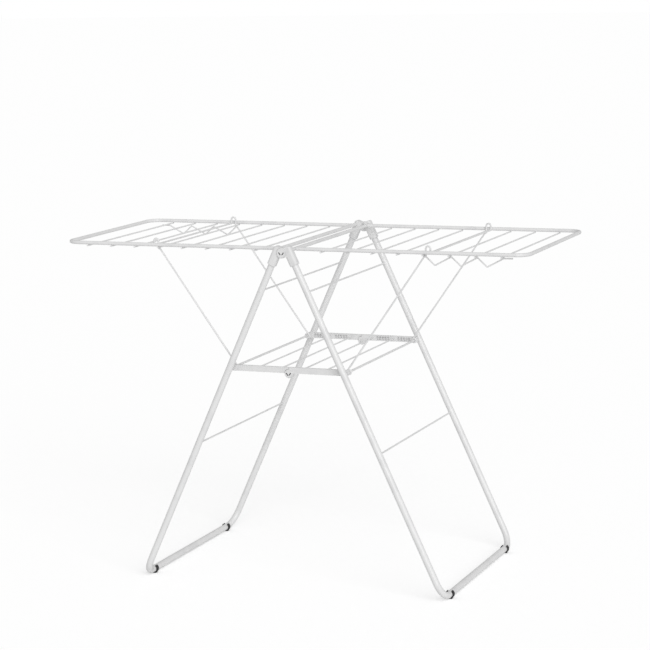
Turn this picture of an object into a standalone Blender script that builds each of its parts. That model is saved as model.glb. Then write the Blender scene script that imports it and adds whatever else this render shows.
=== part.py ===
"""Folding clothes drying rack: two leg frames on a scissor hinge, two wings, two wing arms, a folding shelf.

Metres, +Z up. The left half is the right half turned by 180 degrees about the vertical through the middle, so
each piece is modelled once, on the right, and placed under an empty of its side.
"""

import math

import bmesh
import bpy
from mathutils import Vector

# Overall sizes
RAIL_HEIGHT = 0.920          # floor to the centre line of the wing rails
WING_REACH = 0.6545          # middle of the rack to the centre line of a wing's end tube
RAIL_HALF_DEPTH = 0.2687     # middle of the rack to the centre line of a wing rail
FOOT_SPREAD = 0.4316         # middle of the rack to the centre line of a floor bar
RAIL_TO_LEG = 0.0313         # a wing rail's centre line to the leg's, along the depth

# Leg frames and their hinge
HINGE_DROP = 0.007           # rails' centre line down to the hinge axis
HINGE_TO_SLEEVE = 0.005      # hinge axis to the sleeve's near side, square to the leg
LEG_RADIUS = 0.009
LEG_WALL = 0.001
LEG_BEND = 0.045
UPPER_WIRE_HEIGHT = 0.810
LOWER_WIRE_HEIGHT = 0.3875
CROSS_WIRE_RADIUS = 0.00225
CROSS_WIRE_STICKS_OUT = 0.0015

# Foot clips
FOOT_WALL = 0.0025
FOOT_LENGTH = 0.012
FOOT_PAD_WIDTH = 0.014
FOOT_MOUTH = 0.012
FOOT_TO_BEND = 0.004         # from a clip's end to the start of the leg's bend

# Brackets and hinge pins
SLEEVE_WALL = 0.0020
SLEEVE_LENGTH = 0.043        # hinge axis to the sleeve's open end, along the leg
SLEEVE_TOP = 0.010           # hinge axis to the bracket's top, along the leg
SLEEVE_CORNER = 0.006
BRACKET_TOP_CORNER = 0.008
EAR_RADIUS = 0.014
EAR_THICKNESS = 0.005
EAR_GAP = 0.0004
HINGE_PIN_RADIUS = 0.004
PIN_HEAD_RADIUS = 0.012
PIN_HEAD_THICKNESS = 0.0035
PIN_LIP = 0.0010
SLOT_LENGTH = 0.0085
SLOT_WIDTH = 0.0024
SLOT_FLOOR = 0.0007          # left under a slot in a pin head
SLOT_TILT = math.radians(38.0)

# Wings
AXLE_DISTANCE = 0.020        # middle of the rack to a wing's axle
AXLE_REACH = 0.0145          # how far the axle goes into a bracket
AXLE_TO_LEG_TOP = 0.0063     # axle's skin down to the leg tube's open end
WING_TUBE_RADIUS = 0.005
WING_WALL = 0.0008
WING_BEND = 0.037
ROD_COUNT = 8
ROD_RADIUS = 0.002
FIRST_ROD = 0.0945           # middle of the rack to the first rod
LAST_ROD_GAP = 0.0665        # last rod to the end tube's centre line
ROD_STICKS_OUT = 0.0015
HOLDING_ROD = 4              # index of the rod that the arm holds

# Hanger wires
HANGER_RADIUS = 0.002
HANGER_INSET = 0.0197        # wing rail's centre line to the hanger wire
HANGER_DROP = 0.0235         # rods' underside contact to the bottom of a notch, between centre lines
HANGER_STEEP = 0.0260        # a rod to the next notch, along the wing
HANGER_TAIL = 0.024
HANGER_BEND = 0.0030

# Wing arms
ARM_RADIUS = 0.0024
ARM_INSET = 0.0102           # wing rail's centre line to an arm's side wire
ARM_BEND = 0.006
LOOP_HEIGHT = 0.0155         # rail's centre line to the top of the arm's loop
LOOP_WIDTH = 0.0150          # holding rod to the outer foot of the loop
LOOP_BEND = 0.0028

# Shelf
SHELF_HEIGHT = 0.596
BAR_HALF_HEIGHT = 0.008
BAR_THICKNESS = 0.009
BAR_TO_LEG = 0.0110          # leg's inner side to the bar's outer side
PIVOT_ROD_RADIUS = 0.003
PIVOT_ROD_REACH = 0.006      # how far the rod goes into a leg
SHELF_WIRE_RADIUS = 0.002
SHELF_WIRES = (0.032, 0.096)  # middle of the rack to each wire
WIRE_SEAT = 0.004            # how deep a shelf wire sits in a bar
MID_PIN_DROP = 0.009         # bars' centre line down to the middle pin
MID_PIN_RADIUS = 0.003
LUG_RADIUS = 0.012
LUG_GAP = 0.0008
MID_HEAD_RADIUS = 0.0105
MID_HEAD_THICKNESS = 0.0030
BAR_END_GAP = 0.0004
POCKET_PITCH = 0.008          # pockets between the ribs of a bar
POCKET_WIDTH = 0.006
POCKET_HALF_HEIGHT = 0.005
POCKET_DEPTH = 0.005
POCKET_MARGIN = 0.008

# Fits
TOUCH = 0.0003               # gap between pieces that rest on or are welded to each other
CLEARANCE = 0.0003           # round a piece in its hole

WHITE_COAT = "white_coat"
WHITE_PLASTIC = "white_plastic"
BLACK_RUBBER = "black_rubber"
FINISHES = {
    WHITE_COAT: ((0.86, 0.86, 0.86, 1.0), 0.35, 0.0),
    WHITE_PLASTIC: ((0.84, 0.84, 0.84, 1.0), 0.45, 0.0),
    BLACK_RUBBER: ((0.02, 0.02, 0.02, 1.0), 0.70, 0.0),
}

# Derived sizes
LEG_HALF_DEPTH = RAIL_HALF_DEPTH + RAIL_TO_LEG
HINGE_HEIGHT = RAIL_HEIGHT - HINGE_DROP
ROD_PITCH = (WING_REACH - LAST_ROD_GAP - FIRST_ROD) / (ROD_COUNT - 1)
SLEEVE_HALF = LEG_RADIUS + CLEARANCE + SLEEVE_WALL
LEG_OFFSET = SLEEVE_HALF + HINGE_TO_SLEEVE   # hinge axis to a leg's centre line, square to the leg
FLOOR_BAR_HEIGHT = FOOT_WALL + CLEARANCE + LEG_RADIUS
_REACH = math.hypot(FOOT_SPREAD, HINGE_HEIGHT - FLOOR_BAR_HEIGHT)
LEG_TILT = math.atan2(FOOT_SPREAD, HINGE_HEIGHT - FLOOR_BAR_HEIGHT) - math.asin(LEG_OFFSET / _REACH)
ROD_HEIGHT = RAIL_HEIGHT - WING_TUBE_RADIUS - ROD_RADIUS - TOUCH
# The wing axle in the leg's own plane: square to the leg, and down along it
AXLE_IN_LEG = (
    AXLE_DISTANCE * math.cos(LEG_TILT) + (RAIL_HEIGHT - HINGE_HEIGHT) * math.sin(LEG_TILT),
    AXLE_DISTANCE * math.sin(LEG_TILT) - (RAIL_HEIGHT - HINGE_HEIGHT) * math.cos(LEG_TILT),
)
OUTER_EAR = (LEG_HALF_DEPTH + SLEEVE_HALF - EAR_THICKNESS, LEG_HALF_DEPTH + SLEEVE_HALF)
INNER_EAR = (OUTER_EAR[0] - EAR_GAP - EAR_THICKNESS, OUTER_EAR[0] - EAR_GAP)
LEG_TOP = -(AXLE_IN_LEG[1] + WING_TUBE_RADIUS + AXLE_TO_LEG_TOP)
SIDES = {"left": -1, "right": 1}


def leg_distance(height):
    """How far down the leg's centre line a height lies from the hinge axis."""
    return (HINGE_HEIGHT + LEG_OFFSET * math.sin(LEG_TILT) - height) / math.cos(LEG_TILT)


def leg_x(height):
    """Where the right leg's centre line is at a height."""
    return leg_distance(height) * math.sin(LEG_TILT) + LEG_OFFSET * math.cos(LEG_TILT)


SHELF_PIVOT = Vector((leg_x(SHELF_HEIGHT), 0.0, SHELF_HEIGHT))
MID_PIN = Vector((0.0, 0.0, SHELF_HEIGHT - MID_PIN_DROP))
HINGE = Vector((0.0, 0.0, HINGE_HEIGHT))
AXLE = Vector((AXLE_DISTANCE, 0.0, RAIL_HEIGHT))
BAR_OUTER = LEG_HALF_DEPTH - LEG_RADIUS - BAR_TO_LEG
BAR_INNER = BAR_OUTER - BAR_THICKNESS


def rod_x(index):
    """Distance of a wing rod from the middle of the rack."""
    return FIRST_ROD + index * ROD_PITCH


def clear_scene():
    """Remove what the scene holds and give it the part's two collections."""
    for obj in list(bpy.data.objects):
        bpy.data.objects.remove(obj, do_unlink=True)
    parts = bpy.data.collections.new("clothes_drying_rack")
    cutters = bpy.data.collections.new("cutters")
    for collection in (parts, cutters):
        bpy.context.scene.collection.children.link(collection)
    return parts, cutters


def make_material(name):
    """A Principled material for one piece's finish."""
    colour, roughness, metallic = FINISHES[name]
    material = bpy.data.materials.new(name)
    material.use_nodes = True
    shader = material.node_tree.nodes["Principled BSDF"]
    shader.inputs["Base Color"].default_value = colour
    shader.inputs["Roughness"].default_value = roughness
    shader.inputs["Metallic"].default_value = metallic
    material.diffuse_color = colour
    return material


PARTS, CUTTERS = clear_scene()


def make_empty(name, parent=None, location=(0.0, 0.0, 0.0), turn=0.0):
    """An empty that carries the pieces of one body."""
    empty = bpy.data.objects.new(name, None)
    empty.empty_display_size = 0.02
    empty.location = location
    empty.rotation_euler = (0.0, 0.0, turn)
    empty.parent = parent
    PARTS.objects.link(empty)
    return empty


def place(obj, parent, finish, tilt=0.0):
    """Put a piece under its body's empty, in its own finish."""
    obj.parent = parent
    obj.rotation_euler = (0.0, tilt, 0.0)
    obj.data.materials.clear()
    obj.data.materials.append(make_material(finish))
    return obj


def rounded_path(corners, bend, steps=6):
    """Points along straight runs through the corners, with each inner corner rounded."""
    corners = [Vector(corner) for corner in corners]
    points = [corners[0]]
    for before, corner, after in zip(corners, corners[1:], corners[2:]):
        back = (before - corner).normalized()
        ahead = (after - corner).normalized()
        half = back.angle(ahead) / 2
        setback = bend / math.tan(half)
        centre = corner + (back + ahead).normalized() * (bend / math.sin(half))
        start = corner + back * setback - centre
        end = corner + ahead * setback - centre
        swing = start.angle(end)
        for step in range(steps + 1):
            share = step / steps
            arm = start * math.sin((1 - share) * swing) + end * math.sin(share * swing)
            points.append(centre + arm / math.sin(swing))
    points.append(corners[-1])
    return points


def make_curve(name, points, radius, sides, caps=True):
    """A round wire or tube skin along the points."""
    curve = bpy.data.curves.new(name, "CURVE")
    curve.dimensions = "3D"
    curve.bevel_depth = radius
    curve.bevel_resolution = (sides - 4) // 2
    curve.use_fill_caps = caps
    curve.twist_mode = "MINIMUM"
    spline = curve.splines.new("POLY")
    spline.points.add(len(points) - 1)
    for target, point in zip(spline.points, points):
        target.co = (*point, 1.0)
    obj = bpy.data.objects.new(name, curve)
    PARTS.objects.link(obj)
    return obj


def curve_to_mesh(obj):
    """The curve object's shape as a mesh object of the same name, its caps welded on."""
    name = obj.name
    bpy.context.view_layer.update()
    mesh = bpy.data.meshes.new_from_object(obj.evaluated_get(bpy.context.evaluated_depsgraph_get()))
    work = bmesh.new()
    work.from_mesh(mesh)
    bmesh.ops.remove_doubles(work, verts=work.verts, dist=0.00001)
    bmesh.ops.recalc_face_normals(work, faces=work.faces)
    work.to_mesh(mesh)
    work.free()
    bpy.data.objects.remove(obj, do_unlink=True)
    result = bpy.data.objects.new(name, mesh)
    PARTS.objects.link(result)
    smooth(mesh)
    return result


def smooth(mesh):
    """Round pieces shade smooth, with their edges kept sharp."""
    mesh.shade_smooth()
    mesh.set_sharp_from_angle(angle=math.radians(40))


def make_wire(name, points, radius, sides=8):
    """A solid wire along the points."""
    return make_curve(name, points, radius, sides)


def make_tube(name, points, radius, wall, sides):
    """A hollow tube along the points, open at both ends."""
    obj = curve_to_mesh(make_curve(name, points, radius, sides, caps=False))
    solidify = obj.modifiers.new("wall", "SOLIDIFY")
    solidify.thickness = wall
    solidify.offset = -1
    return obj


def mesh_object(name, work, collection):
    """An object from a bmesh, which is freed."""
    mesh = bpy.data.meshes.new(name)
    work.to_mesh(mesh)
    work.free()
    smooth(mesh)
    obj = bpy.data.objects.new(name, mesh)
    collection.objects.link(obj)
    return obj


def box(name, low, high, collection, round_along=None, corner=0.0):
    """A box between two corners; round_along rounds the edges that run along that axis."""
    low, high = Vector(low), Vector(high)
    work = bmesh.new()
    bmesh.ops.create_cube(work, size=1.0)
    for vertex in work.verts:
        vertex.co = Vector(
            (low[axis] + high[axis]) / 2 + vertex.co[axis] * (high[axis] - low[axis]) for axis in range(3)
        )
    if round_along is not None:
        edges = [
            edge
            for edge in work.edges
            if abs((edge.verts[0].co - edge.verts[1].co).normalized()[round_along]) > 0.9
        ]
        bmesh.ops.bevel(work, geom=edges, offset=corner, segments=4, profile=0.5, affect="EDGES")
    return mesh_object(name, work, collection)


def cylinder(name, centre, radius, start, end, collection, sides=24, axis="Y"):
    """A cylinder round a line along Y or Z, from start to end on that axis."""
    work = bmesh.new()
    bmesh.ops.create_cone(
        work, cap_ends=True, segments=sides, radius1=radius, radius2=radius, depth=abs(end - start)
    )
    middle = (start + end) / 2
    for vertex in work.verts:
        across, up, along = vertex.co
        if axis == "Y":
            vertex.co = Vector((centre[0] + across, middle + along, centre[1] - up))
        else:
            vertex.co = Vector((centre[0] + across, centre[1] + up, middle + along))
    return mesh_object(name, work, collection)


def combine(target, tool, operation):
    """Join a helper to a piece, or cut it away, and keep the helper out of renders."""
    tool.parent = target
    tool.hide_render = True
    tool.display_type = "WIRE"
    boolean = target.modifiers.new(tool.name, "BOOLEAN")
    boolean.object = tool
    boolean.operation = operation
    boolean.solver = "EXACT"
    return target


def cut_hole(target, name, centre, radius, start, end, sides=16):
    """Cut a round hole along Y."""
    tool = cylinder(f"{target.name}_{name}", centre, radius, start, end, CUTTERS, sides)
    return combine(target, tool, "DIFFERENCE")


def cut_along_depth(target, name, centre, radius, half_depth, sides=16):
    """Cut a round hole along Y that runs as far to the front as to the back."""
    return cut_hole(target, name, centre, radius, -half_depth, half_depth, sides)


def leg_plane(height):
    """A point of the leg's centre line in the leg's own plane: square to the leg, and up along it."""
    return LEG_OFFSET, -leg_distance(height)


def build_leg_frame(side, hinge):
    """One bent tube: a leg down, the floor bar along the depth, and the other leg up."""
    top = LEG_TOP
    foot = leg_plane(FLOOR_BAR_HEIGHT)[1]
    corners = [
        (LEG_OFFSET, -LEG_HALF_DEPTH, top),
        (LEG_OFFSET, -LEG_HALF_DEPTH, foot),
        (LEG_OFFSET, LEG_HALF_DEPTH, foot),
        (LEG_OFFSET, LEG_HALF_DEPTH, top),
    ]
    frame = make_tube(f"{side}_leg_frame", rounded_path(corners, LEG_BEND, 8), LEG_RADIUS, LEG_WALL, 16)
    place(frame, hinge, WHITE_COAT, -LEG_TILT)
    through = LEG_HALF_DEPTH + 2 * LEG_RADIUS
    wire_hole = CROSS_WIRE_RADIUS + CLEARANCE
    cut_along_depth(frame, "upper_wire_hole", leg_plane(UPPER_WIRE_HEIGHT), wire_hole, through, 14)
    cut_along_depth(frame, "lower_wire_hole", leg_plane(LOWER_WIRE_HEIGHT), wire_hole, through, 14)
    rod_hole = PIVOT_ROD_RADIUS + CLEARANCE
    cut_along_depth(frame, "pivot_rod_hole", leg_plane(SHELF_HEIGHT), rod_hole, LEG_HALF_DEPTH, 14)
    return frame


def build_cross_wires(side, hinge):
    """Two wires across each leg frame, whose ends stand just proud of the tubes."""
    end = LEG_HALF_DEPTH + LEG_RADIUS + CROSS_WIRE_STICKS_OUT
    for name, height in (("upper", UPPER_WIRE_HEIGHT), ("lower", LOWER_WIRE_HEIGHT)):
        across, up = leg_plane(height)
        points = [(across, -end, up), (across, end, up)]
        wire = make_wire(f"{side}_leg_cross_wire_{name}", points, CROSS_WIRE_RADIUS)
        place(wire, hinge, WHITE_COAT, -LEG_TILT)


def build_bracket(side, place_name, towards, own_ear, other_ear, hinge):
    """A moulded bracket: a sleeve over the leg's top, a bore for the wing axle and a hinge ear."""
    name = f"{side}_{place_name}_bracket"
    inner = LEG_HALF_DEPTH - SLEEVE_HALF
    outer = LEG_HALF_DEPTH + SLEEVE_HALF
    depths = sorted((towards * inner, towards * outer))
    left, right = LEG_OFFSET - SLEEVE_HALF, LEG_OFFSET + SLEEVE_HALF
    low = (left, depths[0], -SLEEVE_LENGTH)
    high = (right, depths[1], SLEEVE_TOP + BRACKET_TOP_CORNER)
    bracket = box(name, low, high, PARTS, round_along=2, corner=SLEEVE_CORNER)
    place(bracket, hinge, WHITE_PLASTIC, -LEG_TILT)
    low = (left - CLEARANCE, depths[0] - SLEEVE_WALL, -SLEEVE_LENGTH - 2 * BRACKET_TOP_CORNER)
    high = (right + CLEARANCE, depths[1] + SLEEVE_WALL, SLEEVE_TOP)
    crown = box(f"{name}_crown", low, high, CUTTERS, round_along=1, corner=BRACKET_TOP_CORNER)
    combine(bracket, crown, "INTERSECT")

    slot = [towards * (depth + sign * EAR_GAP) for depth, sign in zip(other_ear, (-1, 1))]
    cut_hole(bracket, "ear_recess", (0.0, 0.0), EAR_RADIUS + EAR_GAP, *slot, sides=32)
    ear_depths = [towards * depth for depth in own_ear]
    ear = cylinder(f"{name}_ear", (0.0, 0.0), EAR_RADIUS, *ear_depths, CUTTERS, sides=32)
    combine(bracket, ear, "UNION")
    web_low = (0.0, min(ear_depths), -EAR_RADIUS)
    web_high = (LEG_OFFSET, max(ear_depths), SLEEVE_TOP)
    combine(bracket, box(f"{name}_web", web_low, web_high, CUTTERS), "UNION")

    bore = LEG_RADIUS + CLEARANCE
    socket = cylinder(
        f"{name}_leg_socket",
        (LEG_OFFSET, towards * LEG_HALF_DEPTH),
        bore,
        -SLEEVE_LENGTH - 2 * CLEARANCE,
        LEG_TOP + CLEARANCE,
        CUTTERS,
        sides=24,
        axis="Z",
    )
    combine(bracket, socket, "DIFFERENCE")
    axle_centre = (AXLE_IN_LEG[0], -AXLE_IN_LEG[1])
    axle_bore = WING_TUBE_RADIUS + CLEARANCE
    bore_ends = (towards * (inner - CLEARANCE), towards * (inner + AXLE_REACH + CLEARANCE))
    cut_hole(bracket, "axle_bore", axle_centre, axle_bore, *bore_ends, sides=20)
    pin_ends = (towards * (INNER_EAR[0] - 0.01), towards * (outer + 0.01))
    cut_hole(bracket, "pin_bore", (0.0, 0.0), HINGE_PIN_RADIUS + CLEARANCE, *pin_ends, sides=20)
    return bracket


def build_pin(name, parent, towards, depths, radius, head_radius, head, tilt=0.0):
    """A pin along Y: a slotted disc head outside, a shank, and a snap lip inside."""
    inner, outer = depths
    lip_end = inner - TOUCH - PIN_LIP
    head_start = outer + TOUCH
    pin = cylinder(name, (0.0, 0.0), radius, towards * lip_end, towards * (head_start + head / 2), PARTS, 20)
    place(pin, parent, WHITE_PLASTIC, tilt)
    disc = cylinder(
        f"{name}_head", (0.0, 0.0), head_radius, towards * head_start, towards * (head_start + head), CUTTERS, 32
    )
    combine(pin, disc, "UNION")
    lip = cylinder(
        f"{name}_lip",
        (0.0, 0.0),
        radius + PIN_LIP,
        towards * lip_end,
        towards * (inner - TOUCH),
        CUTTERS,
        20,
    )
    combine(pin, lip, "UNION")
    face = head_start + head
    for label, sign in (("left", -1), ("right", 1)):
        slot_depths = sorted((towards * (head_start + SLOT_FLOOR), towards * (face + SLOT_FLOOR)))
        slot = box(
            f"{name}_slot_{label}",
            (-SLOT_WIDTH / 2, slot_depths[0], -SLOT_LENGTH / 2),
            (SLOT_WIDTH / 2, slot_depths[1], SLOT_LENGTH / 2),
            CUTTERS,
        )
        slot.location = (sign * head_radius * 0.38, 0.0, -head_radius * 0.10)
        slot.rotation_euler = (0.0, sign * SLOT_TILT, 0.0)
        combine(pin, slot, "DIFFERENCE")
    return pin


def build_foot(side, place_name, towards, hinge):
    """A C-shaped clip round the floor bar, open at the top and flat underneath."""
    bore = LEG_RADIUS + CLEARANCE
    outer = bore + FOOT_WALL
    pad = FOOT_PAD_WIDTH / 2
    corner = math.atan2(-bore, pad)
    outline = []
    for radius, start, end, steps in (
        (outer, math.acos(FOOT_MOUTH / 2 / outer), corner, 8),
        (outer, math.pi - corner, math.pi - math.acos(FOOT_MOUTH / 2 / outer), 8),
        (bore, math.pi - math.acos(FOOT_MOUTH / 2 / bore), 2 * math.pi + math.acos(FOOT_MOUTH / 2 / bore), 18),
    ):
        for step in range(steps + 1):
            angle = start + (end - start) * step / steps
            outline.append((radius * math.cos(angle), radius * math.sin(angle)))
    outline[9:9] = [(pad, -outer), (-pad, -outer)]
    name = f"{side}_{place_name}_foot"
    curve = bpy.data.curves.new(name, "CURVE")
    curve.dimensions = "2D"
    curve.fill_mode = "BOTH"
    curve.extrude = FOOT_LENGTH / 2
    spline = curve.splines.new("POLY")
    spline.points.add(len(outline) - 1)
    for target, point in zip(spline.points, outline):
        target.co = (*point, 0.0, 1.0)
    spline.use_cyclic_u = True
    foot = bpy.data.objects.new(name, curve)
    PARTS.objects.link(foot)
    middle = towards * (LEG_HALF_DEPTH - LEG_BEND - FOOT_TO_BEND - FOOT_LENGTH / 2)
    foot.location = (FOOT_SPREAD, middle, FLOOR_BAR_HEIGHT - HINGE_HEIGHT)
    place(foot, hinge, BLACK_RUBBER)
    foot.rotation_euler = (math.pi / 2, 0.0, 0.0)
    return foot


def build_wing(side, pivot):
    """A U of tube closed by a straight axle tube, with drying rods under it."""
    start = WING_TUBE_RADIUS + TOUCH
    end = WING_REACH - AXLE_DISTANCE
    corners = [
        (start, -RAIL_HALF_DEPTH, 0.0),
        (end, -RAIL_HALF_DEPTH, 0.0),
        (end, RAIL_HALF_DEPTH, 0.0),
        (start, RAIL_HALF_DEPTH, 0.0),
    ]
    frame = make_tube(
        f"{side}_wing_frame", rounded_path(corners, WING_BEND, 8), WING_TUBE_RADIUS, WING_WALL, 12
    )
    place(frame, pivot, WHITE_COAT)
    axle_end = LEG_HALF_DEPTH - SLEEVE_HALF + AXLE_REACH
    axle = make_tube(
        f"{side}_wing_axle", [(0.0, -axle_end, 0.0), (0.0, axle_end, 0.0)], WING_TUBE_RADIUS, WING_WALL, 12
    )
    place(axle, pivot, WHITE_COAT)
    rod_end = RAIL_HALF_DEPTH + WING_TUBE_RADIUS + ROD_STICKS_OUT
    for index in range(ROD_COUNT):
        at = rod_x(index) - AXLE_DISTANCE
        up = ROD_HEIGHT - RAIL_HEIGHT
        rod = make_wire(f"{side}_wing_rod_{index + 1}", [(at, -rod_end, up), (at, rod_end, up)], ROD_RADIUS)
        place(rod, pivot, WHITE_COAT)


def build_hanger_wire(side, pivot):
    """A zigzag wire welded under the rods by one rail, with three notches for coat hangers."""
    up = ROD_HEIGHT - RAIL_HEIGHT - ROD_RADIUS - HANGER_RADIUS - TOUCH
    depth = -(RAIL_HALF_DEPTH - HANGER_INSET)
    corners = []
    for index in range(HOLDING_ROD, ROD_COUNT - 1):
        peak = rod_x(index) - AXLE_DISTANCE
        corners.append((peak, depth, up))
        corners.append((peak + HANGER_STEEP, depth, up - HANGER_DROP))
    last = rod_x(ROD_COUNT - 1) - AXLE_DISTANCE
    corners.append((last, depth, up))
    corners.append((last + HANGER_TAIL, depth, up))
    first = corners[0]
    corners.insert(0, (first[0] - 2 * HANGER_BEND, depth, up))
    wire = make_wire(f"{side}_hanger_wire", rounded_path(corners, HANGER_BEND, 4), HANGER_RADIUS)
    place(wire, pivot, WHITE_COAT)


def build_arm(side, pivot):
    """The wire that props a wing: eyes round the shelf's pivot rod, side wires, loops and a cross wire."""
    depth = RAIL_HALF_DEPTH - ARM_INSET
    eye = PIVOT_ROD_RADIUS + CLEARANCE + ARM_RADIUS
    crook = Vector((rod_x(HOLDING_ROD), 0.0, ROD_HEIGHT - ROD_RADIUS - ARM_RADIUS - TOUCH)) - SHELF_PIVOT
    reach = math.hypot(crook.x, crook.z)
    rise = math.atan2(crook.z, crook.x) + math.asin(eye / reach)
    leave = rise + math.pi / 2
    profile = []
    for step in range(11):
        angle = leave + math.radians(300) * (1 - step / 10)
        profile.append((eye * math.cos(angle), eye * math.sin(angle)))
    rod = Vector((rod_x(HOLDING_ROD), 0.0, ROD_HEIGHT)) - SHELF_PIVOT
    rail = RAIL_HEIGHT - SHELF_PIVOT.z
    past = ROD_RADIUS + ARM_RADIUS + TOUCH
    around = math.radians(-90)
    for step in range(7):
        angle = around + math.radians(100) * step / 6
        profile.append((rod.x + past * math.cos(angle), rod.z + past * math.sin(angle)))
    foot = rod.x + LOOP_WIDTH + ARM_RADIUS
    side_wire = [(x, -depth, z) for x, z in profile]
    loop_radius = (foot - profile[-1][0]) / 2
    loop_centre = (foot - loop_radius, rail + LOOP_HEIGHT - loop_radius)
    for step in range(13):
        angle = math.pi * (1 - step / 12)
        side_wire.append(
            (
                loop_centre[0] + loop_radius * math.cos(angle),
                -depth,
                loop_centre[1] + loop_radius * math.sin(angle),
            )
        )
    ends = [(foot, -depth, rail - ARM_RADIUS), (foot, 0.0, rail - ARM_RADIUS)]
    tail = rounded_path([side_wire[-1], *ends], LOOP_BEND, 5)
    half = [Vector(point) for point in side_wire[:-1]] + tail
    other = [Vector((point.x, -point.y, point.z)) for point in reversed(half[:-1])]
    wire = make_wire(f"{side}_wing_arm", half + other, ARM_RADIUS)
    place(wire, pivot, WHITE_COAT)



def cut_pockets(bar, start, end, up, towards):
    """Cut a row of pockets into a bar's inner face, with ribs between them."""
    work = bmesh.new()
    count = int((end - start) / POCKET_PITCH)
    first = (start + end - (count - 1) * POCKET_PITCH) / 2
    for index in range(count):
        made = bmesh.ops.create_cube(work, size=1.0)["verts"]
        for vertex in made:
            vertex.co.x = first + index * POCKET_PITCH + vertex.co.x * POCKET_WIDTH
            vertex.co.y = towards * BAR_INNER + vertex.co.y * 2 * POCKET_DEPTH
            vertex.co.z = up + vertex.co.z * 2 * POCKET_HALF_HEIGHT
    tool = mesh_object(f"{bar.name}_pockets", work, CUTTERS)
    combine(bar, tool, "DIFFERENCE")


def build_shelf_half(side, pivot, origin):
    """Two side bars, a pivot rod and two wires, and the pin that joins this half's outer lug to the other."""
    towards_names = (("front", -1), ("back", 1)) if SIDES[side] > 0 else (("back", -1), ("front", 1))
    outer_lug = (BAR_OUTER - (BAR_THICKNESS - LUG_GAP) / 2, BAR_OUTER)
    inner_lug = (BAR_INNER, BAR_INNER + (BAR_THICKNESS - LUG_GAP) / 2)
    pin_at = MID_PIN - origin
    pivot_at = SHELF_PIVOT - origin
    for place_name, towards in towards_names:
        own, other = (outer_lug, inner_lug) if towards < 0 else (inner_lug, outer_lug)
        name = f"{side}_shelf_{place_name}_bar"
        depths = sorted((towards * BAR_INNER, towards * BAR_OUTER))
        low = (pin_at.x + BAR_END_GAP, depths[0], pivot_at.z - BAR_HALF_HEIGHT)
        high = (pivot_at.x, depths[1], pivot_at.z + BAR_HALF_HEIGHT)
        bar = box(name, low, high, PARTS)
        place(bar, pivot, WHITE_PLASTIC)
        flat = (pin_at.x, pin_at.z)
        recess = [towards * (depth + sign * LUG_GAP) for depth, sign in zip(other, (-1, 1))]
        cut_hole(bar, "lug_recess", flat, LUG_RADIUS + LUG_GAP, *recess, sides=32)
        lug = cylinder(f"{name}_lug", flat, LUG_RADIUS, *(towards * d for d in own), CUTTERS, 32)
        combine(bar, lug, "UNION")
        end = cylinder(
            f"{name}_end", (pivot_at.x, pivot_at.z), BAR_HALF_HEIGHT, *(towards * d for d in (BAR_INNER, BAR_OUTER)),
            CUTTERS, 24,
        )
        combine(bar, end, "UNION")
        past = (towards * (BAR_INNER - 0.01), towards * (BAR_OUTER + 0.01))
        cut_hole(bar, "mid_pin_bore", flat, MID_PIN_RADIUS + CLEARANCE, *past, sides=16)
        cut_hole(bar, "pivot_bore", (pivot_at.x, pivot_at.z), PIVOT_ROD_RADIUS + TOUCH, *past, sides=16)
        seat = (towards * (BAR_INNER - 0.01), towards * (BAR_INNER + WIRE_SEAT + CLEARANCE))
        for index, at in enumerate(SHELF_WIRES):
            centre = (at - origin.x, pivot_at.z)
            cut_hole(bar, f"wire_seat_{index + 1}", centre, SHELF_WIRE_RADIUS + TOUCH, *seat, sides=12)
        reach = SHELF_PIVOT.x - BAR_HALF_HEIGHT
        for start, end in zip(SHELF_WIRES, (*SHELF_WIRES[1:], reach + POCKET_MARGIN / 2)):
            left, right = start + POCKET_MARGIN - origin.x, end - POCKET_MARGIN - origin.x
            cut_pockets(bar, left, right, pivot_at.z, towards)
    rod_end = LEG_HALF_DEPTH - LEG_RADIUS + PIVOT_ROD_REACH
    rod = make_wire(
        f"{side}_shelf_pivot_rod",
        [(pivot_at.x, -rod_end, pivot_at.z), (pivot_at.x, rod_end, pivot_at.z)],
        PIVOT_ROD_RADIUS,
        12,
    )
    place(rod, pivot, WHITE_COAT)
    wire_end = BAR_INNER + WIRE_SEAT
    for index, at in enumerate(SHELF_WIRES):
        x = at - origin.x
        points = [(x, -wire_end, pivot_at.z), (x, wire_end, pivot_at.z)]
        place(make_wire(f"{side}_shelf_wire_{index + 1}", points, SHELF_WIRE_RADIUS), pivot, WHITE_COAT)
    pin_empty = make_empty(f"{side}_mid_pin_axis", pivot, pin_at)
    pin_name = "front_shelf_pin" if SIDES[side] > 0 else "back_shelf_pin"
    build_pin(pin_name, pin_empty, -1, (BAR_INNER, BAR_OUTER), MID_PIN_RADIUS, MID_HEAD_RADIUS, MID_HEAD_THICKNESS)


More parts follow.
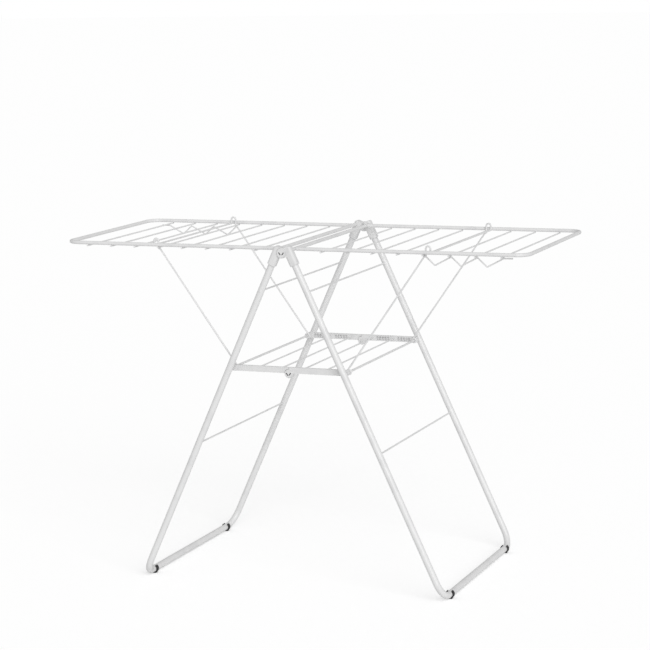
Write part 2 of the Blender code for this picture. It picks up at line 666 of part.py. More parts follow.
def build_side(side):
    """All the pieces of one side, under their joints' empties."""
    turn = 0.0 if SIDES[side] > 0 else math.pi
    root = make_empty(f"{side}_side", turn=turn)
    hinge = make_empty(f"{side}_leg_hinge_axis", root, HINGE)
    build_leg_frame(side, hinge)
    build_cross_wires(side, hinge)
    ends = (("front", -1), ("back", 1)) if SIDES[side] > 0 else (("back", -1), ("front", 1))
    for place_name, towards in ends:
        own, other = (OUTER_EAR, INNER_EAR) if towards < 0 else (INNER_EAR, OUTER_EAR)
        build_bracket(side, place_name, towards, own, other, hinge)
        build_foot(side, place_name, towards, hinge)
    pin_name = "front_hinge_pin" if SIDES[side] > 0 else "back_hinge_pin"
    pin_depths = (INNER_EAR[0], OUTER_EAR[1])
    build_pin(pin_name, hinge, -1, pin_depths, HINGE_PIN_RADIUS, PIN_HEAD_RADIUS, PIN_HEAD_THICKNESS)
    wing_pivot = make_empty(f"{side}_wing_axis", root, AXLE)
    build_wing(side, wing_pivot)
    build_hanger_wire(side, wing_pivot)
    arm_pivot = make_empty(f"{side}_arm_axis", root, SHELF_PIVOT)
    build_arm(side, arm_pivot)
    shelf_origin = MID_PIN if side == "right" else SHELF_PIVOT
    shelf_pivot = make_empty(f"{side}_shelf_axis", root, shelf_origin)
    build_shelf_half(side, shelf_pivot, shelf_origin)


for side_name in SIDES:
    build_side(side_name)
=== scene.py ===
"""Folding clothes drying rack in white coated tube and wire, with white plastic joints and black feet."""

import logging
import math
from dataclasses import dataclass, field
from enum import Enum
from typing import ClassVar

import bmesh
import bpy
from mathutils import Matrix, Vector


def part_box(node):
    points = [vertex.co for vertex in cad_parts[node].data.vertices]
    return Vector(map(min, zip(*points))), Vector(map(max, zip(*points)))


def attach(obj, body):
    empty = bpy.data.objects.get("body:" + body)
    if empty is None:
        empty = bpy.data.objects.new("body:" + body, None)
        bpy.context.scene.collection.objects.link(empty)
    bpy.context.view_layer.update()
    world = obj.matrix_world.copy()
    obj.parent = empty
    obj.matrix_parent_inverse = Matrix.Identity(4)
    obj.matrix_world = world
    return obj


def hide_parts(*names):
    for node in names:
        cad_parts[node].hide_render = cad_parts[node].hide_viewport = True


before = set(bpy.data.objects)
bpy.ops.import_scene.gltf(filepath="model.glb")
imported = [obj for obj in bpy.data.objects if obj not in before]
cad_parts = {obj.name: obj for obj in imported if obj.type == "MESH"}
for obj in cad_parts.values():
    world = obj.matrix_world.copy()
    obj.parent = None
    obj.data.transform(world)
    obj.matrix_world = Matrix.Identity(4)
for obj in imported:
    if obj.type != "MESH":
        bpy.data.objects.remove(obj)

LOG = logging.getLogger("drying_rack")
SMOOTH_LIMIT = math.radians(40)
MOULDED_LIMIT = math.radians(35)
WELD_DISTANCE = 0.000002


class Side(Enum):
    """The half of the rack that a piece belongs to; the left half is the right half turned half a turn."""

    RIGHT = "right"
    LEFT = "left"

    @property
    def turn(self) -> Matrix:
        """The turn that takes a shape made for the right half to this half."""
        return Matrix.Rotation(0.0 if self is Side.RIGHT else math.pi, 4, "Z")


class Slot(Enum):
    """The record's material slots."""

    COAT = "white_coat"
    PLASTIC = "white_plastic"
    RUBBER = "black_rubber"


@dataclass(frozen=True)
class Finish:
    """A surface finish and the detail on it.

    Args:
        slot: Material slot that the finish stands for.
        colour: Main colour.
        shade: Colour of the faint darker patches.
        roughness: Roughness in the middle of its range.
        spread: How far the roughness varies over the surface.
        grain: Fineness of the surface grain, in cells per metre.
        relief: Height of the grain in metres.
        coat: Weight of the clear gloss over the finish.
    """

    slot: Slot
    colour: tuple[float, float, float, float]
    shade: tuple[float, float, float, float]
    roughness: float
    spread: float
    grain: float
    relief: float
    coat: float


POWDER_COAT = Finish(
    Slot.COAT, (0.83, 0.83, 0.83, 1), (0.76, 0.76, 0.765, 1), 0.34, 0.10, 900.0, 0.00006, 0.25
)
MOULDED_WHITE = Finish(
    Slot.PLASTIC, (0.80, 0.80, 0.80, 1), (0.73, 0.73, 0.735, 1), 0.46, 0.12, 1600.0, 0.00004, 0.0
)
BLACK_CLIP = Finish(
    Slot.RUBBER, (0.018, 0.018, 0.019, 1), (0.035, 0.035, 0.034, 1), 0.62, 0.15, 1300.0, 0.00007, 0.0
)
# Painted shade: a near-black colour for the floors and walls of the pin heads' slots, standing in for the
# shade deep inside them.
SLOT_PAINTED_SHADE = Finish(
    Slot.PLASTIC, (0.03, 0.03, 0.03, 1), (0.015, 0.015, 0.015, 1), 0.80, 0.10, 1300.0, 0.00004, 0.0
)


class ShaderParts:
    """The shader node groups that all finishes share."""

    def __init__(self) -> None:
        """Build each group once."""
        self.grain = self._build_grain()
        self.tone = self._build_tone()

    @staticmethod
    def _new_group(
        name: str, inputs: list[tuple[str, str]], outputs: list[tuple[str, str]]
    ) -> bpy.types.NodeTree:
        """Make an empty shader group with named sockets.

        Args:
            name: The group's name.
            inputs: Name and type of each input.
            outputs: Name and type of each output.

        Returns:
            The node group, with its input and output nodes.
        """
        group = bpy.data.node_groups.new(name, "ShaderNodeTree")
        for in_out, sockets in (("INPUT", inputs), ("OUTPUT", outputs)):
            for label, kind in sockets:
                group.interface.new_socket(label, in_out=in_out, socket_type=kind)
        group.nodes.new("NodeGroupInput")
        group.nodes.new("NodeGroupOutput")
        return group

    def _build_grain(self) -> bpy.types.NodeTree:
        """Build the fine grain of a sprayed or moulded surface.

        Returns:
            A group that gives a height and a roughness.
        """
        group = self._new_group(
            "surface_grain",
            [(label, "NodeSocketFloat") for label in ("Fineness", "Roughness", "Spread")],
            [("Height", "NodeSocketFloat"), ("Roughness", "NodeSocketFloat")],
        )
        given, result = group.nodes["Group Input"], group.nodes["Group Output"]
        place = group.nodes.new("ShaderNodeTexCoord")
        fine = group.nodes.new("ShaderNodeTexNoise")
        fine.inputs["Detail"].default_value = 2.0
        broad = group.nodes.new("ShaderNodeTexNoise")
        broad.inputs["Scale"].default_value = 14.0
        centred = group.nodes.new("ShaderNodeMath")
        centred.operation = "SUBTRACT"
        centred.inputs[1].default_value = 0.5
        spread = group.nodes.new("ShaderNodeMath")
        spread.operation = "MULTIPLY_ADD"
        link = group.links.new
        link(place.outputs["Object"], fine.inputs["Vector"])
        link(place.outputs["Object"], broad.inputs["Vector"])
        link(given.outputs["Fineness"], fine.inputs["Scale"])
        link(broad.outputs["Fac"], centred.inputs[0])
        link(centred.outputs[0], spread.inputs[0])
        link(given.outputs["Spread"], spread.inputs[1])
        link(given.outputs["Roughness"], spread.inputs[2])
        link(fine.outputs["Fac"], result.inputs["Height"])
        link(spread.outputs[0], result.inputs["Roughness"])
        return group

    def _build_tone(self) -> bpy.types.NodeTree:
        """Build the faint patches where a finish is a little darker.

        Returns:
            A group that gives a colour.
        """
        group = self._new_group(
            "uneven_tone",
            [("Colour", "NodeSocketColor"), ("Shade", "NodeSocketColor"), ("Patches", "NodeSocketFloat")],
            [("Colour", "NodeSocketColor")],
        )
        given, result = group.nodes["Group Input"], group.nodes["Group Output"]
        place = group.nodes.new("ShaderNodeTexCoord")
        cloud = group.nodes.new("ShaderNodeTexNoise")
        cloud.inputs["Detail"].default_value = 4.0
        edge = group.nodes.new("ShaderNodeMapRange")
        edge.inputs["From Min"].default_value = 0.48
        edge.inputs["From Max"].default_value = 0.72
        mix = group.nodes.new("ShaderNodeMix")
        mix.data_type = "RGBA"
        link = group.links.new
        link(place.outputs["Object"], cloud.inputs["Vector"])
        link(given.outputs["Patches"], cloud.inputs["Scale"])
        link(cloud.outputs["Fac"], edge.inputs["Value"])
        link(edge.outputs["Result"], mix.inputs["Factor"])
        link(given.outputs["Colour"], mix.inputs["A"])
        link(given.outputs["Shade"], mix.inputs["B"])
        link(mix.outputs["Result"], result.inputs["Colour"])
        return group


class Paintshop:
    """Makes the rack's materials and hands them out by finish."""

    def __init__(self) -> None:
        """Build the shared groups and one material for each finish."""
        self.parts = ShaderParts()
        self.materials = {
            finish.slot: self._mix(finish, finish.slot.value)
            for finish in (POWDER_COAT, MOULDED_WHITE, BLACK_CLIP)
        }
        # Painted shade: the near-black material that stands in for the shade inside the pin heads' slots.
        self.slot_painted_shade = self._mix(SLOT_PAINTED_SHADE, "slot_shadow")

    def _mix(self, finish: Finish, name: str) -> bpy.types.Material:
        """Make one finish's material.

        Args:
            finish: The finish to make.
            name: The material's name.

        Returns:
            The material.
        """
        material = bpy.data.materials.new(f"rack_{name}")
        material.use_nodes = True
        nodes, link = material.node_tree.nodes, material.node_tree.links.new
        shader = nodes["Principled BSDF"]
        shader.inputs["Coat Weight"].default_value = finish.coat
        shader.inputs["Coat Roughness"].default_value = 0.12
        grain = nodes.new("ShaderNodeGroup")
        grain.node_tree = self.parts.grain
        grain.inputs["Fineness"].default_value = finish.grain
        grain.inputs["Roughness"].default_value = finish.roughness
        grain.inputs["Spread"].default_value = finish.spread
        tone = nodes.new("ShaderNodeGroup")
        tone.node_tree = self.parts.tone
        tone.inputs["Colour"].default_value = finish.colour
        tone.inputs["Shade"].default_value = finish.shade
        tone.inputs["Patches"].default_value = 22.0
        bump = nodes.new("ShaderNodeBump")
        bump.inputs["Strength"].default_value = 0.2
        bump.inputs["Distance"].default_value = finish.relief
        link(grain.outputs["Height"], bump.inputs["Height"])
        link(grain.outputs["Roughness"], shader.inputs["Roughness"])
        link(tone.outputs["Colour"], shader.inputs["Base Color"])
        link(bump.outputs["Normal"], shader.inputs["Normal"])
        return material

    def of(self, slot: Slot) -> bpy.types.Material:
        """The material of a slot."""
        return self.materials[slot]


class Workshop:
    """Bends wire and tube, sets out rows, and finishes the moulded pieces."""

    def __init__(self, paint: Paintshop) -> None:
        """Build the node trees once.

        Args:
            paint: Where the materials come from.
        """
        self.paint = paint
        self.sweep_tree = self._build_sweep_tree()
        self.row_tree = self._build_row_tree()

    @staticmethod
    def _new_tree(name: str, inputs: list[tuple[str, str]]) -> bpy.types.NodeTree:
        """Make a Geometry Nodes tree with named inputs and one geometry output.

        Args:
            name: The tree's name.
            inputs: Name and type of each input after the geometry.

        Returns:
            The tree, with its input and output nodes.
        """
        tree = bpy.data.node_groups.new(name, "GeometryNodeTree")
        tree.interface.new_socket("Geometry", in_out="INPUT", socket_type="NodeSocketGeometry")
        for label, kind in inputs:
            tree.interface.new_socket(label, in_out="INPUT", socket_type=kind)
        tree.interface.new_socket("Geometry", in_out="OUTPUT", socket_type="NodeSocketGeometry")
        tree.nodes.new("NodeGroupInput")
        tree.nodes.new("NodeGroupOutput")
        return tree

    @staticmethod
    def _finish_tree(tree: bpy.types.NodeTree, last: bpy.types.NodeSocket) -> None:
        """End a tree in smooth shading, Realize Instances and Set Material.

        Args:
            tree: The tree to end.
            last: The geometry that it has made so far.
        """
        smooth = tree.nodes.new("GeometryNodeSetShadeSmooth")
        real = tree.nodes.new("GeometryNodeRealizeInstances")
        dress = tree.nodes.new("GeometryNodeSetMaterial")
        link = tree.links.new
        link(last, smooth.inputs["Geometry"])
        link(smooth.outputs["Geometry"], real.inputs["Geometry"])
        link(real.outputs["Geometry"], dress.inputs["Geometry"])
        link(tree.nodes["Group Input"].outputs["Finish"], dress.inputs["Material"])
        link(dress.outputs["Geometry"], tree.nodes["Group Output"].inputs["Geometry"])

    def _build_sweep_tree(self) -> bpy.types.NodeTree:
        """Build the tree that runs a round section along a line of points.

        Returns:
            The tree, with inputs Radius, Sides and Finish.
        """
        tree = self._new_tree(
            "swept_round_bar",
            [("Radius", "NodeSocketFloat"), ("Sides", "NodeSocketInt"), ("Finish", "NodeSocketMaterial")],
        )
        given = tree.nodes["Group Input"]
        path = tree.nodes.new("GeometryNodeMeshToCurve")
        section = tree.nodes.new("GeometryNodeCurvePrimitiveCircle")
        sweep = tree.nodes.new("GeometryNodeCurveToMesh")
        sweep.inputs["Fill Caps"].default_value = True
        link = tree.links.new
        link(given.outputs["Geometry"], path.inputs["Mesh"])
        link(given.outputs["Radius"], section.inputs["Radius"])
        link(given.outputs["Sides"], section.inputs["Resolution"])
        link(path.outputs["Curve"], sweep.inputs["Curve"])
        link(section.outputs["Curve"], sweep.inputs["Profile Curve"])
        self._finish_tree(tree, sweep.outputs["Mesh"])
        return tree

    def _build_row_tree(self) -> bpy.types.NodeTree:
        """Build the tree that sets copies of a piece in an even row.

        Returns:
            The tree, with inputs Count, Step and Finish.
        """
        tree = self._new_tree(
            "even_row",
            [("Count", "NodeSocketInt"), ("Step", "NodeSocketVector"), ("Finish", "NodeSocketMaterial")],
        )
        given = tree.nodes["Group Input"]
        row = tree.nodes.new("GeometryNodeMeshLine")
        copies = tree.nodes.new("GeometryNodeInstanceOnPoints")
        link = tree.links.new
        link(given.outputs["Count"], row.inputs["Count"])
        link(given.outputs["Step"], row.inputs["Offset"])
        link(row.outputs["Mesh"], copies.inputs["Points"])
        link(given.outputs["Geometry"], copies.inputs["Instance"])
        self._finish_tree(tree, copies.outputs["Instances"])
        return tree

    @staticmethod
    def _grow(
        start: bpy.types.Object, tree: bpy.types.NodeTree, values: dict[str, object]
    ) -> bpy.types.Object:
        """Run a tree on an object and keep the result as a plain mesh.

        Args:
            start: The object that the tree starts from. It is used up.
            tree: The Geometry Nodes tree.
            values: The tree's inputs by name.

        Returns:
            A new mesh object with the same name.
        """
        modifier = start.modifiers.new("grow", "NODES")
        modifier.node_group = tree
        for item in tree.interface.items_tree:
            if item.item_type == "SOCKET" and item.in_out == "INPUT" and item.name in values:
                modifier[item.identifier] = values[item.name]
        start.update_tag()
        bpy.context.view_layer.update()
        graph = bpy.context.evaluated_depsgraph_get()
        mesh = bpy.data.meshes.new_from_object(start.evaluated_get(graph), depsgraph=graph)
        name = start.name
        start.modifiers.remove(modifier)
        bpy.data.objects.remove(start, do_unlink=True)
        mesh.name = name
        made = bpy.data.objects.new(name, mesh)
        bpy.context.scene.collection.objects.link(made)
        mesh.set_sharp_from_angle(angle=SMOOTH_LIMIT)
        return made

    def bend(self, name: str, points: list[Vector], radius: float, sides: int = 16) -> bpy.types.Object:
        """Bend a round bar along a line of points.

        Args:
            name: The piece's name.
            points: Points of its centre line.
            radius: The bar's radius.
            sides: How many faces go round it.

        Returns:
            The bar as a plain mesh object.
        """
        mesh = bpy.data.meshes.new(name)
        mesh.from_pydata(points, [(index, index + 1) for index in range(len(points) - 1)], [])
        line = bpy.data.objects.new(name, mesh)
        bpy.context.scene.collection.objects.link(line)
        values = {"Radius": radius, "Sides": sides, "Finish": self.paint.of(Slot.COAT)}
        return self._grow(line, self.sweep_tree, values)

    def row(self, piece: bpy.types.Object, count: int, step: tuple[float, float, float]) -> bpy.types.Object:
        """Repeat a piece in an even row.

        Args:
            piece: The first of the row. It is used up.
            count: How many stand in the row.
            step: From one to the next.

        Returns:
            The whole row as one plain mesh object.
        """
        values = {"Count": count, "Step": step, "Finish": self.paint.of(Slot.COAT)}
        return self._grow(piece, self.row_tree, values)

    def mould(self, node: str, body: str, slot: Slot, edge: float) -> bpy.types.Object:
        """Finish a moulded piece: the CAD node's shape with rounded edges.

        Args:
            node: The CAD node to stand for.
            body: The body it rides on.
            slot: Its material slot.
            edge: Radius of its edges.

        Returns:
            The finished piece.
        """
        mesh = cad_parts[node].data.copy()
        work = bmesh.new()
        work.from_mesh(mesh)
        bmesh.ops.remove_doubles(work, verts=work.verts, dist=WELD_DISTANCE)
        bmesh.ops.dissolve_limit(work, angle_limit=math.radians(1), verts=work.verts, edges=work.edges)
        work.to_mesh(mesh)
        work.free()
        mesh.materials.clear()
        mesh.materials.append(self.paint.of(slot))
        mesh.shade_smooth()
        mesh.set_sharp_from_angle(angle=MOULDED_LIMIT)
        made = bpy.data.objects.new(f"finished_{node}", mesh)
        bpy.context.scene.collection.objects.link(made)
        bevel = made.modifiers.new("edges", "BEVEL")
        bevel.width = edge
        bevel.segments = 2
        bevel.limit_method = "ANGLE"
        bevel.angle_limit = SMOOTH_LIMIT
        bevel.use_clamp_overlap = True
        self.deliver(made, body, slot, node)
        return made

    def mould_pin(self, node: str, body: str, edge: float, head: float) -> bpy.types.Object:
        """Finish a pin whose head has two slots, with painted shade in near-black on their floors and walls.

        Args:
            node: The CAD node to stand for.
            body: The body it rides on.
            edge: Radius of its edges.
            head: Thickness of its head.

        Returns:
            The finished pin.
        """
        pin = self.mould(node, body, Slot.PLASTIC, edge)
        low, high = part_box(node)
        centre, radius = (Vector(low) + Vector(high)) / 2, (high[0] - low[0]) / 2
        outside = low[1] if centre.y < 0 else high[1]
        inside_rim, slot_top, slot_floor = 0.92 * radius, 0.2 * head, 0.95 * head
        # Painted shade: the faces inside the slots get a near-black second material that stands in for the
        # shade deep in the slots.
        pin.data.materials.append(self.paint.slot_painted_shade)
        for face in pin.data.polygons:
            reach = math.hypot(face.center.x - centre.x, face.center.z - centre.z)
            sunk = abs(outside - face.center.y)
            if reach < inside_rim and slot_top < sunk < slot_floor:
                face.material_index = 1
        return pin

    @staticmethod
    def deliver(piece: bpy.types.Object, body: str, slot: Slot, *nodes: str) -> None:
        """Hand a finished piece to its body in place of its CAD nodes.

        Args:
            piece: The finished piece.
            body: The body it rides on.
            slot: Its material slot; not used.
            nodes: The CAD nodes it stands for.
        """
        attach(piece, body)
        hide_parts(*nodes)


def rounded(corners: list[Vector], radius: float, steps: int = 10) -> list[Vector]:
    """Round the inner corners of a line.

    Args:
        corners: The line's corners.
        radius: Bend radius of the centre line.
        steps: Points in each bend.

    Returns:
        Points along the rounded line.
    """
    points = [corners[0]]
    for before, corner, after in zip(corners, corners[1:], corners[2:]):
        back, ahead = (before - corner).normalized(), (after - corner).normalized()
        half = back.angle(ahead) / 2
        centre = corner + (back + ahead).normalized() * (radius / math.sin(half))
        start = corner + back * (radius / math.tan(half)) - centre
        end = corner + ahead * (radius / math.tan(half)) - centre
        swing = start.angle(end)
        for step in range(steps + 1):
            share = step / steps
            arm = start * math.sin((1 - share) * swing) + end * math.sin(share * swing)
            points.append(centre + arm / math.sin(swing))
    points.append(corners[-1])
    return points


def arc(
    middle_x: float, middle_z: float, radius: float, start: float, turn: float, steps: int
) -> list[Vector]:
    """Set out an arc in the plane of the rack's side.

    Args:
        middle_x: Its centre along X.
        middle_z: Its centre's height.
        radius: Its radius.
        start: Angle it starts at.
        turn: Angle it turns through.
        steps: Steps along it.

    Returns:
        Its points, at no depth.
    """
    angles = [start + turn * step / steps for step in range(steps + 1)]
    return [Vector((middle_x + radius * math.cos(a), 0.0, middle_z + radius * math.sin(a))) for a in angles]


def middle(node: str) -> Vector:
    """The middle of a CAD node's box."""
    low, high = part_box(node)
    return (Vector(low) + Vector(high)) / 2


def half_size(node: str) -> Vector:
    """Half the size of a CAD node's box."""
    low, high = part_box(node)
    return (Vector(high) - Vector(low)) / 2


def ends_of(node: str) -> list[Vector]:
    """The two ends of a straight bar that runs along the depth."""
    reach = Vector((0.0, half_size(node).y, 0.0))
    return [middle(node) - reach, middle(node) + reach]


@dataclass
class MovingPart:
    """A part of the rack that moves as one body."""

    kind: ClassVar[str]

    side: Side
    shop: Workshop
    parts: list[bpy.types.Object] = field(default_factory=list)

    @property
    def body(self) -> str:
        """The body that the part is."""
        return f"{self.side.value}_{self.kind}"

    def keep_bar(self, bar: bpy.types.Object, *nodes: str) -> None:
        """Keep a coated bar in place of its CAD nodes.

        Args:
            bar: The finished bar or row of bars.
            nodes: The CAD nodes it stands for.
        """
        self.shop.deliver(bar, self.body, Slot.COAT, *nodes)
        self.parts.append(bar)

    def keep_moulding(self, node: str, slot: Slot, edge: float) -> None:
        """Finish a moulded piece and keep it.

        Args:
            node: The CAD node to stand for.
            slot: Its material slot.
            edge: Radius of its edges.
        """
        self.parts.append(self.shop.mould(node, self.body, slot, edge))

    def keep_pin(self, node: str, edge: float, head: float) -> None:
        """Finish a pin with a slotted head and keep it.

        Args:
            node: The CAD node to stand for.
            edge: Radius of its edges.
            head: Thickness of its head.
        """
        self.parts.append(self.shop.mould_pin(node, self.body, edge, head))


@dataclass
class LegFrame(MovingPart):
    """One bent tube with two legs and a floor bar, its two cross wires, brackets, feet and hinge pin."""

    kind: ClassVar[str] = "legs"

    tube_radius: float = 0.009
    wire_radius: float = 0.00225
    bend: float = 0.045
    offset: float = 0.0163
    half_depth: float = 0.300
    hinge_height: float = 0.913
    top: float = 0.0130
    foot_spread: float = 0.4316
    bracket_edge: float = 0.0006
    clip_edge: float = 0.0003
    pin_head: float = 0.0035

    def build(self) -> list[bpy.types.Object]:
        """Make every piece of the frame.

        Returns:
            The finished pieces.
        """
        self._bend_tube()
        self._set_cross_wires()
        self._finish_mouldings()
        return self.parts

    def _bend_tube(self) -> None:
        """Bend the leg tube."""
        node = f"{self.side.value}_leg_frame"
        low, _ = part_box(node)
        floor_bar = low[2] + self.tube_radius
        drop = self.hinge_height - floor_bar
        slant = math.hypot(self.foot_spread, drop)
        tilt = math.atan2(self.foot_spread, drop) - math.asin(self.offset / slant)
        along = Vector((math.sin(tilt), 0.0, -math.cos(tilt)))
        out = Vector((math.cos(tilt), 0.0, math.sin(tilt)))
        hinge = Vector((0.0, 0.0, self.hinge_height))
        top = hinge + out * self.offset + along * self.top
        foot = Vector((self.foot_spread, 0.0, floor_bar))
        depth = Vector((0.0, self.half_depth, 0.0))
        corners = [top - depth, foot - depth, foot + depth, top + depth]
        line = [self.side.turn @ point for point in rounded(corners, self.bend, 14)]
        tube = self.shop.bend(f"bent_{node}", line, self.tube_radius, 28)
        self.keep_bar(tube, node)

    def _set_cross_wires(self) -> None:
        """Run the two wires across the frame."""
        for level in ("upper", "lower"):
            node = f"{self.side.value}_leg_cross_wire_{level}"
            wire = self.shop.bend(f"run_{node}", ends_of(node), self.wire_radius, 16)
            self.keep_bar(wire, node)

    def _finish_mouldings(self) -> None:
        """Finish the brackets, the foot clips and the hinge pin."""
        pin = "front_hinge_pin" if self.side is Side.RIGHT else "back_hinge_pin"
        for end in ("front", "back"):
            bracket = f"{self.side.value}_{end}_bracket"
            foot = f"{self.side.value}_{end}_foot"
            self.keep_moulding(bracket, Slot.PLASTIC, self.bracket_edge)
            self.keep_moulding(foot, Slot.RUBBER, self.clip_edge)
        self.keep_pin(pin, self.clip_edge, self.pin_head)


@dataclass
class Wing(MovingPart):
    """A U of tube on an axle, with its drying rods and its hanger wire."""

    kind: ClassVar[str] = "wing"

    tube_radius: float = 0.005
    bend: float = 0.037
    rod_radius: float = 0.002
    rod_count: int = 8
    holding_rod: int = 5
    notch_drop: float = 0.0235
    notch_steep: float = 0.0260
    notch_bend: float = 0.0030

    def build(self) -> list[bpy.types.Object]:
        """Make every piece of the wing.

        Returns:
            The finished pieces.
        """
        self._bend_frame()
        self._set_axle()
        self._set_rods()
        self._bend_hanger_wire()
        return self.parts

    def _rod(self, number: int) -> Vector:
        """The middle of a rod, as on the right wing."""
        return self.side.turn @ middle(f"{self.side.value}_wing_rod_{number}")

    def _bend_frame(self) -> None:
        """Bend the U of the wing."""
        node = f"{self.side.value}_wing_frame"
        centre, half = self.side.turn @ middle(node), half_size(node)
        reach = centre.x + half.x - self.tube_radius
        start = centre.x - half.x
        rail = half.y - self.tube_radius
        outline = ((start, -rail), (reach, -rail), (reach, rail), (start, rail))
        corners = [Vector((x, y, centre.z)) for x, y in outline]
        line = [self.side.turn @ point for point in rounded(corners, self.bend, 14)]
        tube = self.shop.bend(f"bent_{node}", line, self.tube_radius, 24)
        self.keep_bar(tube, node)

    def _set_axle(self) -> None:
        """Set the straight axle tube."""
        node = f"{self.side.value}_wing_axle"
        tube = self.shop.bend(f"set_{node}", ends_of(node), self.tube_radius, 24)
        self.keep_bar(tube, node)

    def _set_rods(self) -> None:
        """Set the row of drying rods under the rails."""
        nodes = [f"{self.side.value}_wing_rod_{number}" for number in range(1, self.rod_count + 1)]
        rod = self.shop.bend(f"row_of_{self.side.value}_rods", ends_of(nodes[0]), self.rod_radius, 16)
        rods = self.shop.row(rod, self.rod_count, tuple(middle(nodes[1]) - middle(nodes[0])))
        self.keep_bar(rods, *nodes)

    def _bend_hanger_wire(self) -> None:
        """Bend the zigzag wire that hangers hook on to."""
        node = f"{self.side.value}_hanger_wire"
        centre, half = self.side.turn @ middle(node), half_size(node)
        high = centre.z + half.z - self.rod_radius
        depth = centre.y
        corners = [Vector((centre.x - half.x, depth, high))]
        for number in range(self.holding_rod, self.rod_count):
            peak = self._rod(number).x
            corners.append(Vector((peak, depth, high)))
            corners.append(Vector((peak + self.notch_steep, depth, high - self.notch_drop)))
        corners.append(Vector((self._rod(self.rod_count).x, depth, high)))
        corners.append(Vector((centre.x + half.x, depth, high)))
        line = [self.side.turn @ point for point in rounded(corners, self.notch_bend, 8)]
        wire = self.shop.bend(f"bent_{node}", line, self.rod_radius, 16)
        self.keep_bar(wire, node)


@dataclass
class WingArm(MovingPart):
    """The bent wire that props a wing, from eyes on the shelf's rod to loops under a drying rod."""

    kind: ClassVar[str] = "arm"

    radius: float = 0.0024
    rod_radius: float = 0.002
    eye: float = 0.0057
    eye_sweep: float = 300.0
    hold_sweep: float = 100.0
    touch: float = 0.0003
    loop_height: float = 0.0155
    loop_width: float = 0.0150
    loop_bend: float = 0.0028
    holding_rod: int = 5

    def build(self) -> list[bpy.types.Object]:
        """Bend the arm.

        Returns:
            The arm alone.
        """
        node = f"{self.side.value}_wing_arm"
        pivot = self.side.turn @ middle(f"{self.side.value}_shelf_pivot_rod")
        rod = self.side.turn @ middle(f"{self.side.value}_wing_rod_{self.holding_rod}")
        rail = middle(f"{self.side.value}_wing_frame").z
        depth = half_size(node).y - self.radius
        hold = self.rod_radius + self.radius + self.touch
        line = self._lower_line(pivot, rod, hold, depth)
        foot = rod.x + self.loop_width + self.radius
        line += self._loop(line[-1].x, foot, rail + self.loop_height, depth)
        low = rail - self.radius
        corners = [line[-1], Vector((foot, -depth, low)), Vector((foot, 0.0, low))]
        near = line[:-1] + rounded(corners, self.loop_bend, 8)
        far = [Vector((point.x, -point.y, point.z)) for point in reversed(near[:-1])]
        whole = [self.side.turn @ point for point in near + far]
        wire = self.shop.bend(f"bent_{node}", whole, self.radius, 16)
        self.keep_bar(wire, node)
        return self.parts

    @staticmethod
    def _loop(start: float, foot: float, top: float, depth: float) -> list[Vector]:
        """Set out the round loop over the rail.

        Args:
            start: Where the loop rises, along X.
            foot: Where it comes down, along X.
            top: Height of its centre line at the top.
            depth: Distance of the side wire from the middle.

        Returns:
            Points over the loop, from start to foot.
        """
        radius = (foot - start) / 2
        over = arc(foot - radius, top - radius, radius, math.pi, -math.pi, 20)
        return [point - Vector((0.0, depth, 0.0)) for point in over]

    def _lower_line(self, pivot: Vector, rod: Vector, hold: float, depth: float) -> list[Vector]:
        """Set out the eye, the side wire and the hold under the rod.

        Args:
            pivot: Middle of the shelf's pivot rod.
            rod: Middle of the rod that the arm holds.
            hold: From that rod's centre line to the arm's.
            depth: Distance of the side wire from the middle.

        Returns:
            Points of the front side wire, from the eye up.
        """
        crook = Vector((rod.x - pivot.x, 0.0, rod.z - hold - pivot.z))
        reach = math.hypot(crook.x, crook.z)
        rise = math.atan2(crook.z, crook.x) + math.asin(self.eye / reach)
        sweep, bottom = math.radians(self.eye_sweep), math.radians(-90)
        line = arc(pivot.x, pivot.z, self.eye, rise + math.pi / 2 + sweep, -sweep, 24)
        line += arc(rod.x, rod.z, hold, bottom, math.radians(self.hold_sweep), 10)
        return [point - Vector((0.0, depth, 0.0)) for point in line]


@dataclass
class ShelfHalf(MovingPart):
    """Half of the folding shelf: two side bars, a pivot rod, two wires and a middle pin."""

    kind: ClassVar[str] = "shelf"

    wire_radius: float = 0.002
    rod_radius: float = 0.003
    bar_edge: float = 0.0009
    pin_edge: float = 0.0003
    pin_head: float = 0.0030
    wire_count: int = 2

    def build(self) -> list[bpy.types.Object]:
        """Make every piece of the shelf half.

        Returns:
            The finished pieces.
        """
        self._set_rod()
        self._set_wires()
        self._finish_mouldings()
        return self.parts

    def _set_rod(self) -> None:
        """Set the rod that the shelf half turns on."""
        node = f"{self.side.value}_shelf_pivot_rod"
        rod = self.shop.bend(f"set_{node}", ends_of(node), self.rod_radius, 20)
        self.keep_bar(rod, node)

    def _set_wires(self) -> None:
        """Set the row of shelf wires."""
        nodes = [f"{self.side.value}_shelf_wire_{number}" for number in range(1, self.wire_count + 1)]
        name = f"row_of_{self.side.value}_shelf_wires"
        wire = self.shop.bend(name, ends_of(nodes[0]), self.wire_radius, 16)
        wires = self.shop.row(wire, self.wire_count, tuple(middle(nodes[1]) - middle(nodes[0])))
        self.keep_bar(wires, *nodes)

    def _finish_mouldings(self) -> None:
        """Finish the side bars and the middle pin."""
        for end in ("front", "back"):
            bar = f"{self.side.value}_shelf_{end}_bar"
            self.keep_moulding(bar, Slot.PLASTIC, self.bar_edge)
        pin = "front_shelf_pin" if self.side is Side.RIGHT else "back_shelf_pin"
        self.keep_pin(pin, self.pin_edge, self.pin_head)


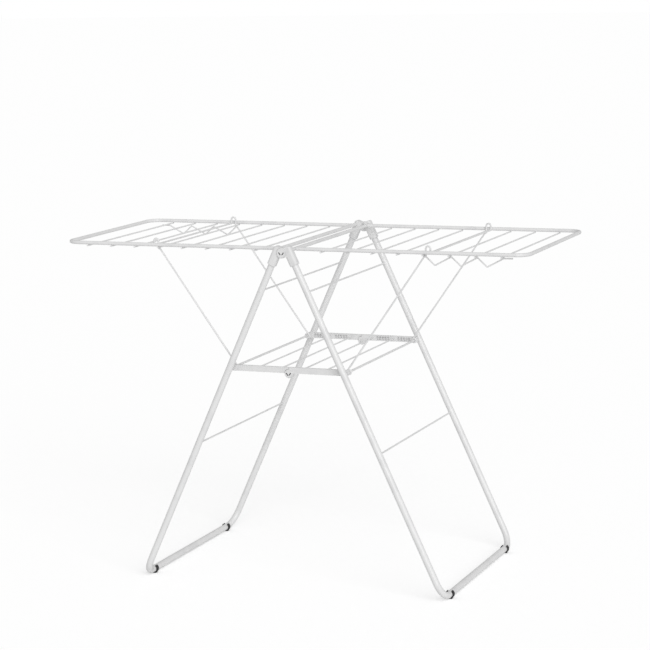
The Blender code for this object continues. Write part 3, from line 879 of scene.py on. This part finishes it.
@dataclass
class Studio:
    """The pale floor, the soft light and the camera."""

    camera_place: tuple[float, float, float] = (2.2938, -5.7828, 1.6675)
    camera_turn: float = -0.3784
    camera_tip: float = 0.1583
    camera_lean: float = -0.0198
    lens: float = 126.5
    floor_half: float = 60.0
    floor_tone: float = 0.92
    floor_glow: float = 0.34
    sky: float = 0.50
    key_strength: float = 1.45
    key_spread: float = 0.85
    key_place: tuple[float, float, float] = (3.6, -4.6, 3.4)
    key_aim: tuple[float, float, float] = (0.0, 0.0, 0.5)

    def build(self) -> None:
        """Set up the floor, the lights and the camera."""
        self._lay_floor()
        self._light()
        self._place_camera()
        bpy.context.scene.view_settings.view_transform = "Standard"

    def _lay_floor(self) -> None:
        """Lay the floor under the feet."""
        reach = self.floor_half
        mesh = bpy.data.meshes.new("studio_floor")
        corners = [(-reach, -reach, 0), (reach, -reach, 0), (reach, reach, 0), (-reach, reach, 0)]
        mesh.from_pydata(corners, [], [(0, 1, 2, 3)])
        floor = bpy.data.objects.new("studio_floor", mesh)
        bpy.context.scene.collection.objects.link(floor)
        material = bpy.data.materials.new("studio_floor")
        material.use_nodes = True
        shader = material.node_tree.nodes["Principled BSDF"]
        shader.inputs["Base Color"].default_value = (self.floor_tone, self.floor_tone, self.floor_tone, 1)
        shader.inputs["Roughness"].default_value = 0.9
        shader.inputs["Specular IOR Level"].default_value = 0.0
        shader.inputs["Emission Color"].default_value = (1, 1, 1, 1)
        rays = material.node_tree.nodes.new("ShaderNodeLightPath")
        glow = material.node_tree.nodes.new("ShaderNodeMath")
        glow.operation = "MULTIPLY"
        glow.inputs[1].default_value = self.floor_glow
        material.node_tree.links.new(rays.outputs["Is Camera Ray"], glow.inputs[0])
        material.node_tree.links.new(glow.outputs[0], shader.inputs["Emission Strength"])
        mesh.materials.append(material)

    def _light(self) -> None:
        """Light the scene with an even sky and one large soft lamp."""
        world = bpy.data.worlds.new("studio")
        bpy.context.scene.world = world
        world.use_nodes = True
        nodes, link = world.node_tree.nodes, world.node_tree.links.new
        sky = nodes["Background"]
        sky.inputs["Color"].default_value = (1, 1, 1, 1)
        sky.inputs["Strength"].default_value = self.sky
        seen = nodes.new("ShaderNodeBackground")
        seen.inputs["Color"].default_value = (1, 1, 1, 1)
        rays = nodes.new("ShaderNodeLightPath")
        mix = nodes.new("ShaderNodeMixShader")
        link(rays.outputs["Is Camera Ray"], mix.inputs["Fac"])
        link(sky.outputs["Background"], mix.inputs[1])
        link(seen.outputs["Background"], mix.inputs[2])
        link(mix.outputs["Shader"], nodes["World Output"].inputs["Surface"])
        lamp = bpy.data.lights.new("soft_lamp", "SUN")
        lamp.energy = self.key_strength
        lamp.angle = self.key_spread
        key = bpy.data.objects.new("soft_lamp", lamp)
        key.location = self.key_place
        aim = Vector(self.key_aim) - Vector(self.key_place)
        key.rotation_euler = aim.to_track_quat("-Z", "Y").to_euler()
        bpy.context.scene.collection.objects.link(key)

    def _place_camera(self) -> None:
        """Stand the camera in front and to the right."""
        turn, tip, lean = self.camera_turn, self.camera_tip, self.camera_lean
        ahead = Vector((math.sin(turn) * math.cos(tip), math.cos(turn) * math.cos(tip), -math.sin(tip)))
        right = Vector((math.cos(turn), -math.sin(turn), 0.0))
        up = right.cross(ahead)
        right, up = (
            right * math.cos(lean) + up * math.sin(lean),
            up * math.cos(lean) - right * math.sin(lean),
        )
        data = bpy.data.cameras.new("camera")
        data.lens = self.lens
        data.sensor_width = 36.0
        data.clip_end = 200.0
        camera = bpy.data.objects.new("camera", data)
        facing = Matrix((right, up, -ahead)).transposed().to_4x4()
        camera.matrix_world = Matrix.Translation(self.camera_place) @ facing
        bpy.context.scene.collection.objects.link(camera)
        bpy.context.scene.camera = camera


def main() -> None:
    """Build the rack and its studio."""
    logging.basicConfig(level=logging.INFO, format="%(message)s")
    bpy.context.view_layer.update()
    shop = Workshop(Paintshop())
    for side in Side:
        for part in (LegFrame(side, shop), Wing(side, shop), WingArm(side, shop), ShelfHalf(side, shop)):
            for piece in part.build():
                LOG.info("%s rides on %s", piece.name, part.body)
    Studio().build()


if __name__ == "__main__":
    main()
